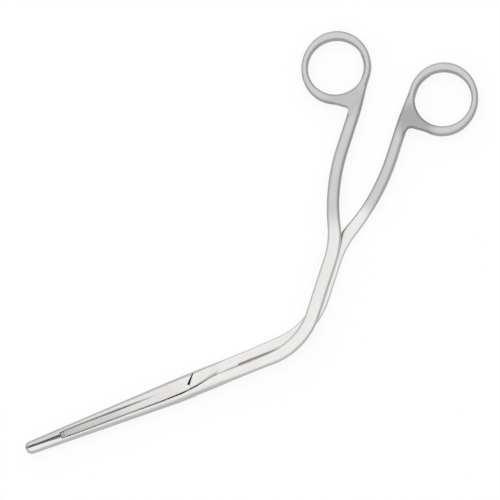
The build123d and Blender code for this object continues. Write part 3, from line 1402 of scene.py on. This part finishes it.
@dataclass
class BackLimb(Limb):
    """Upper jaw, back lap plate, back shank, handle and right ring."""

    side: Side = Side.BACK
    name: str = "back_limb_skin"
    body: str = "back_half"
    band_up: float = 2.4
    band_start: float = -13.5
    fork: float = 42.5
    fork_run: float = 25.5
    fork_radii: tuple[float, float] = (36.0, 90.0)
    handle_width: float = 4.95
    matte_run: tuple[float, float] = (12.0, 20.0)
    upper_face: tuple[tuple[float, float], ...] = (
        (0.0, 1.35), (0.2, 1.25), (0.58, 0.6), (0.78, 0.2), (1.0, -0.9),
    )
    blasted: float = 1.0

    # Ledge and bank behind the pad, with painted shade on the grooves and the bank

    rim_sharpness: float = 8.0
    root_sharpness: float = 10.0
    root_run: tuple[float, float] = (-39.0, -15.0)
    serration_pitch: float = 0.65
    serration_depth: float = 0.16
    ledge_slope: float = 0.2
    ledge_lift: tuple[float, float] = (1.5, 3.3)
    ledge_climb: tuple[float, float] = (-45.0, -16.0)
    ledge_start: float = 0.5
    ledge_start_run: float = 2.0
    ledge_end: tuple[tuple[float, float], ...] = (
        (-69.5, -1.05), (-60.7, -1.47), (-39.0, -2.12), (-23.6, -2.77), (-12.2, -2.7),
    )
    ledge_floor: float = 0.6
    bank_slope: float = 1.0
    bank_rise: float = 0.1
    bank_start: float = 1.4
    # Strength of the painted shade on the bank.
    bank_painted_shade: float = 0.3
    bank_run_in: float = 1.5
    bank_fade: tuple[float, float] = (-48.0, -16.0)
    bank_facing: tuple[float, float] = (0.15, 0.55)
    bank_end: float = -12.0
    # Strength of the painted shade in the ledge's grooves.
    groove_painted_shade: float = 0.42
    groove_run_in: tuple[float, float] = (0.6, 1.2)
    groove_fade: tuple[float, float] = (-50.0, -35.0)
    jaw_matte: tuple[float, float] = (0.45, 0.12)
    jaw_matte_change: tuple[float, float] = (-74.0, -52.0)
    jaw_matte_fade: tuple[float, float] = (-20.0, -9.0)

    # Crown over the joint, lap plate and round heel

    crown_edge: tuple[tuple[float, float], ...] = (
        (-12.2, -2.6), (-9.0, -2.25), (-6.0, -1.7), (-2.0, -0.95), (1.0, -0.65),
        (5.0, -0.5), (13.0, -0.35),
    )
    crown_end: tuple[float, float] = (-6.0, 8.0)
    crown_foot: float = 1.0
    crown_slope: float = 0.3
    crown_turn: float = 0.45
    crown_sharpness: float = 9.0
    plate_centre: tuple[float, float] = (-1.6, -1.4)
    plate_arrival: tuple[float, float] = (-22.0, -12.2)
    plate_leaving: tuple[float, float] = (8.0, 18.0)
    slash_places: tuple[float, ...] = (-11.9, -11.5, -11.1, -10.8)
    heel_steps: tuple[float, ...] = (0.01, 0.06, 0.2, 0.45, 0.8, 1.2, 1.6)
    plate_start: float = 2.0
    plate_step: float = 0.6
    heel_end_steps: tuple[float, ...] = (0.6, 0.35, 0.15, 0.05, 0.01)
    shank_places: tuple[float, ...] = (11.0, 12.0, 13.0, 14.0, 15.5, 17.0, 18.5)

    # Slash across the joint, and the seam beside the crown, with painted shadow in both

    slash_angle: float = 47.0
    slash_start: tuple[float, float] = (-12.35, -0.3)
    slash_top: float = 3.7
    slash_widths: tuple[float, float] = (1.05, 0.5)
    slash_floor: float = -1.2
    slash_margin: float = 0.02
    slash_seen: float = 0.5
    seam_back: float = 0.3
    seam_widths: tuple[float, ...] = (0.4, 0.55, 0.85, 1.25, 1.4, 1.2)
    seam_floor: float = 1.2
    # Strength of the painted shadow along the seam.
    seam_painted_shadow: float = 0.45
    seam_reach: float = 1.1
    seam_rise: tuple[float, float] = (0.0, 0.7)
    seam_fade: tuple[float, float] = (2.2, 2.6)
    seam_lift: float = 0.3
    seam_facing: float = 0.5

    def face_outline(self) -> list[tuple[float, float]]:
        """Inner face of the upper jaw."""
        return list(self.upper_face)

    def last_share(self) -> float:
        """Serrations run to the slash."""
        return 1.0

    def jaw_sharpness(self, along: float) -> float:
        """Sharpness of the edges of the inner face, which are soft in the jaw's middle."""
        return mix(super().jaw_sharpness(along), self.root_sharpness, ease(along, *self.root_run))

    def jaw_cells(self, along: float, face: float) -> list[Cell]:
        """Jaw with an upright inner face, and behind the pad the serrated ledge below it.

        Args:
            along: Place of the section along the shaft.
            face: Height of the inner face in plan.

        Returns:
            Cells of the section.
        """
        cells = super().jaw_cells(along, face)
        start = self.pad_end()
        if along > start:
            plain = height_on(self.plain_face(), along)
            inner = plain - self.band_up
            lift = mix(*self.ledge_lift, ease(along, *self.ledge_climb))
            run_in = 1.0 - ease(along, start, start + self.ledge_start_run)
            bank = lift + self.bank_rise + self.bank_start * run_in - self.bank_slope * inner
            lift -= self.ledge_start * run_in
            cells = [[*cells[0], at_most_lift(bank, self.bank_slope)]]
            end = height_on(self.ledge_end, along) - self.band_up
            rise = lift - abs(face - plain) - self.ledge_slope * inner
            cells.append([
                self.jaw_oval(along),
                at_least_across(end),
                at_most_lift(rise, self.ledge_slope),
                at_least_lift(-self.layout.lap_height),
            ])
        return cells

    def matte_at(self, distance: float) -> float:
        """How matte the surface is: the jaw is a little matte too, most of all at the pad.

        Args:
            distance: Distance along the centre line from the pivot.

        Returns:
            Share from 0 to 1.
        """
        jaw = mix(*self.jaw_matte, ease(distance, *self.jaw_matte_change))
        jaw *= 1.0 - ease(distance, *self.jaw_matte_fade)
        return max(super().matte_at(distance), jaw)

    def jaw_centre(self, along: float, face: float) -> tuple[float, float]:
        """Point inside the jaw, which moves to the plate's centre before the slash.

        Args:
            along: Place of the section along the shaft.
            face: Height of the inner face in plan.

        Returns:
            The point, across and over the centre line.
        """
        share = ease(along, *self.plate_arrival)
        pairs = zip(super().jaw_centre(along, face), self._centre(along))
        across, lift = (mix(first, second, share) for first, second in pairs)
        return (across, lift)

    def plain_face(self) -> list[tuple[float, float]]:
        """Inner face without its serrations.

        Returns:
            Points of (along, height), from the pad's end to the slash.
        """
        start = self.pad_end()
        run = self.layout.slash_foot[0] - start
        return [(start + share * run, height) for share, height in self.upper_face]

    def joint_loops(self) -> Iterator[Loop]:
        """Crown before the slash, then crown and back plate, then the shank.

        Returns:
            Loops up to just before the plain shank.
        """
        heel = self.layout.heel_radius
        for along in (*self.slash_places, -heel - JUMP):
            yield self.plate_loop(along, False)
        count = int((2 * heel - self.heel_end_steps[0] - self.plate_start) / self.plate_step)
        places = [*self.heel_steps]
        places += [self.plate_start + self.plate_step * step for step in range(count)]
        places += [2 * heel - step for step in self.heel_end_steps]
        for step in places:
            yield self.plate_loop(step - heel, True)
        for along in (heel + JUMP, *self.shank_places):
            yield self.shank_loop(along)

    def _centre(self, along: float) -> tuple[float, float]:
        """Point inside the section, across and over the centre line."""
        share = ease(along, *self.plate_leaving)
        across, lift = self.plate_centre
        return (mix(across, 0.0, share), mix(lift, self.bar_oval(along).middle[1], share))

    def crown(self, along: float) -> Cell:
        """Full height of the jaw's body, which sinks to the lap where the other limb swings.

        Args:
            along: Place of the section along the shaft.

        Returns:
            Cell of the section.
        """
        layout = self.layout
        jaw, bar = self.jaw_oval(along), self.bar_oval(along)
        share = ease(along, *self.crown_end)
        body = Oval(
            (mix(jaw.middle[0], bar.middle[0], share), mix(0.0, bar.middle[1], share)),
            mix(jaw.half_width, bar.half_width, share),
            mix(jaw.crown, bar.crown, share),
            mix(jaw.belly, bar.belly, share),
        )
        edge = height_on(self.crown_edge, along) - self.band_up
        swing = self.crown_slope * (self.crown_foot - along) + self.crown_turn * self.band_up
        return [
            body,
            at_least_across(edge),
            at_most_lift(swing - layout.lap_gap, self.crown_turn),
            at_least_lift(-layout.lap_height),
        ]

    def plate_loop(self, along: float, plate: bool) -> Loop:
        """Section with the crown and the shank.

        Args:
            along: Place of the section along the shaft.
            plate: Add the lap plate, which ends in the round heel.

        Returns:
            The loop.
        """
        layout = self.layout
        oval = self.jaw_oval(along)
        cells: list[Cell] = [self.crown(along), [self.bar_oval(along)]]
        if plate:
            reach = math.sqrt(max(layout.heel_radius**2 - along**2, 0.0))
            low = max(layout.lap_floor, layout.pivot_up - reach) - self.band_up
            pad_low = max(layout.flat_floor, layout.pivot_up - reach) - self.band_up
            top = at_most_lift(-layout.lap_gap)
            back = at_least_lift(-layout.lap_height)
            cells.append([oval, at_least_across(low), at_most_across(0.0), top, back])
            cells.append([at_least_across(pad_low), at_most_across(0.0), top, back])
        return self.loop(along, cells, self._centre(along), self.crown_sharpness)

    def shank_loop(self, along: float) -> Loop:
        """Section of the shank, seen from the plate's centre."""
        return self.loop(along, [[self.bar_oval(along)]], self._centre(along))

    def trim(self, made: bpy.types.Object) -> None:
        """Cut the slash that runs across the joint, and the seam beside the crown.

        Args:
            made: The limb.
        """
        foot, run, side, length = self.slash_line()
        top = foot + run * length
        wide, narrow = self.slash_widths
        corners = [foot, top, top + side * narrow, foot + side * wide]
        self._cut_through(made, corners, self.slash_floor)
        near = [(along, up - self.seam_back) for along, up in self.crown_edge[1:]]
        far = [(along, up + wide) for (along, up), wide in zip(near, self.seam_widths)]
        self._cut_through(made, [*near, *reversed(far)], self.seam_floor)

    def _cut_through(
        self, made: bpy.types.Object, corners: Sequence[Sequence[float]], floor: float
    ) -> None:
        """Cut an outline in plan out of the limb, down to a floor.

        Args:
            made: The limb.
            corners: Corners of the outline, as (along, up).
            floor: Lift where the cut ends.
        """
        base = [self.layout.spot(along, up, floor) for along, up in corners]
        cut_away(made, prism(base, Vector((0.0, 0.0, CUTTER_RISE * MM))))

    def slash_line(self) -> tuple[Vector, Vector, Vector, float]:
        """Line that the slash follows in plan.

        Returns:
            Its foot, its heading, the heading across it, and its length.
        """
        turn = math.radians(self.slash_angle)
        run = Vector((math.cos(turn), math.sin(turn)))
        side = Vector((math.sin(turn), -math.cos(turn)))
        foot = Vector(self.slash_start)
        return foot, run, side, (self.slash_top - foot.y) / run.y

    def painted_shade_at(self, face: bpy.types.MeshPolygon) -> float:
        """How much painted shade darkens a face: black in the slash for its shadow, and shade in
        the seam, the grooves, the bank and the teeth.

        Args:
            face: Face of the finished mesh.

        Returns:
            Share of darkness, from 0 to 1.
        """
        # The slash is painted black, as its painted shadow.
        if self._in_slash(face.center):
            return 1.0
        layout = self.layout
        along = face.center.x / MM + layout.middle[0]
        up = face.center.y / MM + layout.middle[1]
        lift = face.center.z / MM - layout.lap_height
        below = height_on(self.crown_edge, along) + self.seam_reach - up
        # Painted shadow along the seam beside the crown.
        level = lift < self.seam_lift and face.normal.z > self.seam_facing
        if level and abs(along) < layout.heel_radius and 0.0 < below < self.seam_fade[1]:
            return self._seam_painted_shadow(below)
        # Painted shade in the ledge's grooves and on the bank above them.
        if lift > self.ledge_floor and along > self.pad_end():
            plain = height_on(self.plain_face(), along)
            if up < plain and along < self.groove_fade[1]:
                return self._groove_painted_shade(along)
            if up > plain and along < self.bank_end:
                return self._bank_painted_shade(along, -face.normal.y)
        return super().painted_shade_at(face)

    def _in_slash(self, spot: Vector) -> bool:
        """Whether a point of the shared frame lies in the slash.

        Args:
            spot: The point, in metres.

        Returns:
            True within the slash, or a hair outside it.
        """
        foot, run, side, length = self.slash_line()
        away = (spot - self.layout.spot(foot.x, foot.y, 0.0)).to_2d() / MM
        beside, beyond, margin = away.dot(side), away.dot(run), self.slash_margin
        width = mix(*self.slash_widths, beyond / length) + margin
        within = -margin < beside < width and -margin < beyond < length + margin
        return within and spot.z > self.slash_seen * MM

    def _seam_painted_shadow(self, below: float) -> float:
        """Painted shadow at a distance below the seam's upper side, where the front limb's edge
        would shade the back limb.
        """
        shown = ease(below, *self.seam_rise) * (1.0 - ease(below, *self.seam_fade))
        return self.seam_painted_shadow * shown

    def _groove_painted_shade(self, along: float) -> float:
        """Painted shade on the ledge, on half of each pitch, where the serration grooves would be
        in shade.

        Args:
            along: Place along the shaft.

        Returns:
            Share of painted shade, which fades towards both ends.
        """
        run = self.layout.slash_foot[0] - self.pad_end() - self.serration_lead
        ridges = round((run + self.serration_lead) / self.serration_pitch)
        from_lead = along - self.pad_end() - self.serration_lead
        groove = from_lead / run * ridges % 1.0 < 0.5
        start, full = self.groove_run_in
        shown = ease(along, self.pad_end() + start, self.pad_end() + full)
        shown *= 1.0 - ease(along, *self.groove_fade)
        return self.groove_painted_shade * shown * float(groove)

    def _bank_painted_shade(self, along: float, inward: float) -> float:
        """Painted shade on the bank, stronger where it faces the other jaw and would be in shade.

        Args:
            along: Place along the shaft.
            inward: How far the face looks at the other jaw, from 0 to 1.

        Returns:
            Share of painted shade, which fades towards both ends.
        """
        shown = ease(along, self.pad_end(), self.pad_end() + self.bank_run_in)
        shown *= 1.0 - ease(along, *self.bank_fade)
        return self.bank_painted_shade * shown * ease(inward, *self.bank_facing)


@dataclass
class PivotScrew:
    """Countersunk screw that is entered from the back and ends inside the front limb."""

    layout: Layout = field(default_factory=Layout)
    diameter: float = 2.0
    head_diameter: float = 3.6
    head_depth: float = 0.9
    reach: float = 2.2
    slot_width: float = 0.6
    slot_depth: float = 0.5
    steps: int = 64
    edge: float = 0.06
    slot_lead: float = 1.0

    def build(self) -> bpy.types.Object:
        """Turn the screw, cut its slot and let it ride.

        Returns:
            The object.
        """
        layout = self.layout
        radius, head = self.diameter / 2 * MM, self.head_diameter / 2 * MM
        height, edge = (layout.lap_height + self.reach) * MM, self.edge * MM
        profile = [
            (0.0, 0.0), (head - edge, 0.0), (head, edge),
            (radius, self.head_depth * MM), (radius, height - 2 * edge),
            (radius - 2 * edge, height), (0.0, height),
        ]
        bm = bmesh.new()
        verts = [bm.verts.new((across, 0.0, lift)) for across, lift in profile]
        edges = [bm.edges.new(pair) for pair in zip(verts, verts[1:])]
        bmesh.ops.spin(
            bm, geom=[*verts, *edges], cent=(0.0, 0.0, 0.0), axis=(0.0, 0.0, 1.0),
            angle=math.tau, steps=self.steps, use_merge=True,
        )
        bmesh.ops.remove_doubles(bm, verts=bm.verts, dist=WELD)
        bmesh.ops.recalc_face_normals(bm, faces=bm.faces)
        centre = layout.spot(0.0, layout.pivot_up, -layout.lap_height)
        bmesh.ops.translate(bm, verts=bm.verts, vec=centre)
        made = place_object("pivot_screw_turned", finished(bm, "pivot_screw_turned"))
        half, far = self.slot_width / 2, self.head_diameter
        corners = [(-far, -half), (far, -half), (far, half), (-far, half)]
        base = [centre + Vector((x * MM, y * MM, -self.slot_lead * MM)) for x, y in corners]
        rise = (self.slot_lead + self.slot_depth) * MM
        cut_away(made, prism(base, Vector((0.0, 0.0, rise))))
        made.data.shade_smooth()
        dress(made, TurnedSteel(tuple(centre)).build())
        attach(made, "front_half")
        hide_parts("pivot_screw")
        return made


@dataclass(frozen=True)
class SoftLamp:
    """Square lamp that points at the object, with its brightness as seen from there."""

    name: str
    place: tuple[float, float, float]
    size: float
    glow: float

    def build(self) -> None:
        """Add the lamp."""
        data = bpy.data.lights.new(self.name, "AREA")
        data.shape = "SQUARE"
        data.size = self.size
        data.energy = self.glow * math.pi * self.size**2
        lamp = bpy.data.objects.new(self.name, data)
        bpy.context.scene.collection.objects.link(lamp)
        lamp.location = self.place
        lamp.visible_camera = False
        lamp.rotation_mode = "QUATERNION"
        lamp.rotation_quaternion = Vector(self.place).to_track_quat("Z", "Y")


@dataclass
class Studio:
    """White floor, soft light and the camera at the photograph's angle."""

    tilt: float = math.radians(17.0)
    roll: float = math.radians(22.11)
    target: tuple[float, float, float] = (1.783 * MM, -13.034 * MM, 3.2 * MM)
    view_width: float = 210.0 * MM
    lens: float = 400.0
    sensor: float = 36.0
    clip: tuple[float, float] = (0.1, 50.0)
    floor_half: float = 6.0
    floor_drop: float = 0.2 * MM
    floor_shade: float = 0.94
    floor_white: tuple[float, float] = (0.85, 0.8)
    world_light: float = 0.2
    world_white: tuple[float, float] = (0.8, 0.67)
    lamps: tuple[SoftLamp, ...] = (
        SoftLamp("softbox", (0.0, 0.144, 1.09), 5.3, 0.95),
        SoftLamp("upper_fill", (0.0, 2.4, 0.5), 1.6, 0.3),
        SoftLamp("lower_fill", (0.0, -2.4, 0.8), 1.8, 0.25),
        SoftLamp("left_fill", (-2.4, 0.0, 0.6), 1.8, 0.3),
    )

    def build(self) -> None:
        """Add the floor, the world, the lamps and the camera."""
        self._camera()
        self._floor()
        self._world()
        for lamp in self.lamps:
            lamp.build()
        bpy.context.scene.view_settings.view_transform = "Standard"

    def _camera(self) -> None:
        """Long lens, tilted towards the lower side of the shaft."""
        across = Vector((1.0, 0.0, 0.0))
        rise = Vector((0.0, math.cos(self.tilt), math.sin(self.tilt)))
        right = across * math.cos(self.roll) - rise * math.sin(self.roll)
        up = across * math.sin(self.roll) + rise * math.cos(self.roll)
        back = right.cross(up)
        distance = self.view_width * self.lens / self.sensor
        data = bpy.data.cameras.new("camera")
        data.lens = self.lens
        data.sensor_width = self.sensor
        data.clip_start, data.clip_end = self.clip
        camera = bpy.data.objects.new("camera", data)
        bpy.context.scene.collection.objects.link(camera)
        turn = Matrix((right, up, back)).transposed().to_4x4()
        camera.matrix_world = Matrix.Translation(Vector(self.target) + back * distance) @ turn
        bpy.context.scene.camera = camera

    def _floor(self) -> None:
        """Pale floor that shows nearly white and keeps the object's shadow."""
        bm = bmesh.new()
        bmesh.ops.create_grid(bm, x_segments=1, y_segments=1, size=self.floor_half)
        floor = place_object("floor", finished(bm, "floor"))
        floor.location.z = -self.floor_drop
        material = bpy.data.materials.new("floor")
        material.use_nodes = True
        graph = Graph(material.node_tree)
        camera, mirrored = self._rays(graph)
        shade = (self.floor_shade,) * 3
        matte = graph.node("ShaderNodeBsdfDiffuse", {}, {"Color": (*shade, 1.0)})
        glow = graph.node("ShaderNodeEmission", {}, {"Color": WHITE, "Strength": 1.0})
        seen, reflected = self.floor_white
        share = camera * seen + mirrored * reflected
        mixed = graph.node("ShaderNodeMixShader", {}, {0: share, 1: matte, 2: glow})
        graph.node("ShaderNodeOutputMaterial", {}, {"Surface": mixed})
        floor.data.materials.append(material)

    @staticmethod
    def _rays(graph: Graph) -> tuple[Value, Value]:
        """Masks of the rays that meet the background.

        Args:
            graph: Graph that the nodes are added to.

        Returns:
            Mask of the rays that see it directly, and of those that mirror it.
        """
        camera = graph.node("ShaderNodeLightPath", output="Is Camera Ray")
        glossy = graph.node("ShaderNodeLightPath", output="Is Glossy Ray")
        through = graph.node("ShaderNodeLightPath", output="Is Transmission Ray")
        return camera, glossy.maximum(through)

    def _world(self) -> None:
        """Even light from all round, and white where it is seen."""
        world = bpy.data.worlds.new("studio")
        bpy.context.scene.world = world
        world.use_nodes = True
        graph = Graph(world.node_tree)
        camera, mirrored = self._rays(graph)
        seen, reflected = self.world_white
        strength = camera * seen + mirrored * reflected + self.world_light
        glow = graph.node("ShaderNodeBackground", {}, {"Color": WHITE, "Strength": strength})
        graph.node("ShaderNodeOutputWorld", {}, {"Surface": glow})


def main() -> None:
    """Build the pieces in order, then the studio, and log each piece's face count."""
    logging.basicConfig(level=logging.INFO)
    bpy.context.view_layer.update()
    steel = SatinSteel().build()
    for limb in (FrontLimb(), BackLimb()):
        made = limb.build(steel)
        log.info("%s has %d faces", made.name, len(made.data.polygons))
    screw = PivotScrew().build()
    log.info("%s has %d faces", screw.name, len(screw.data.polygons))
    Studio().build()


if __name__ == "__main__":
    main()
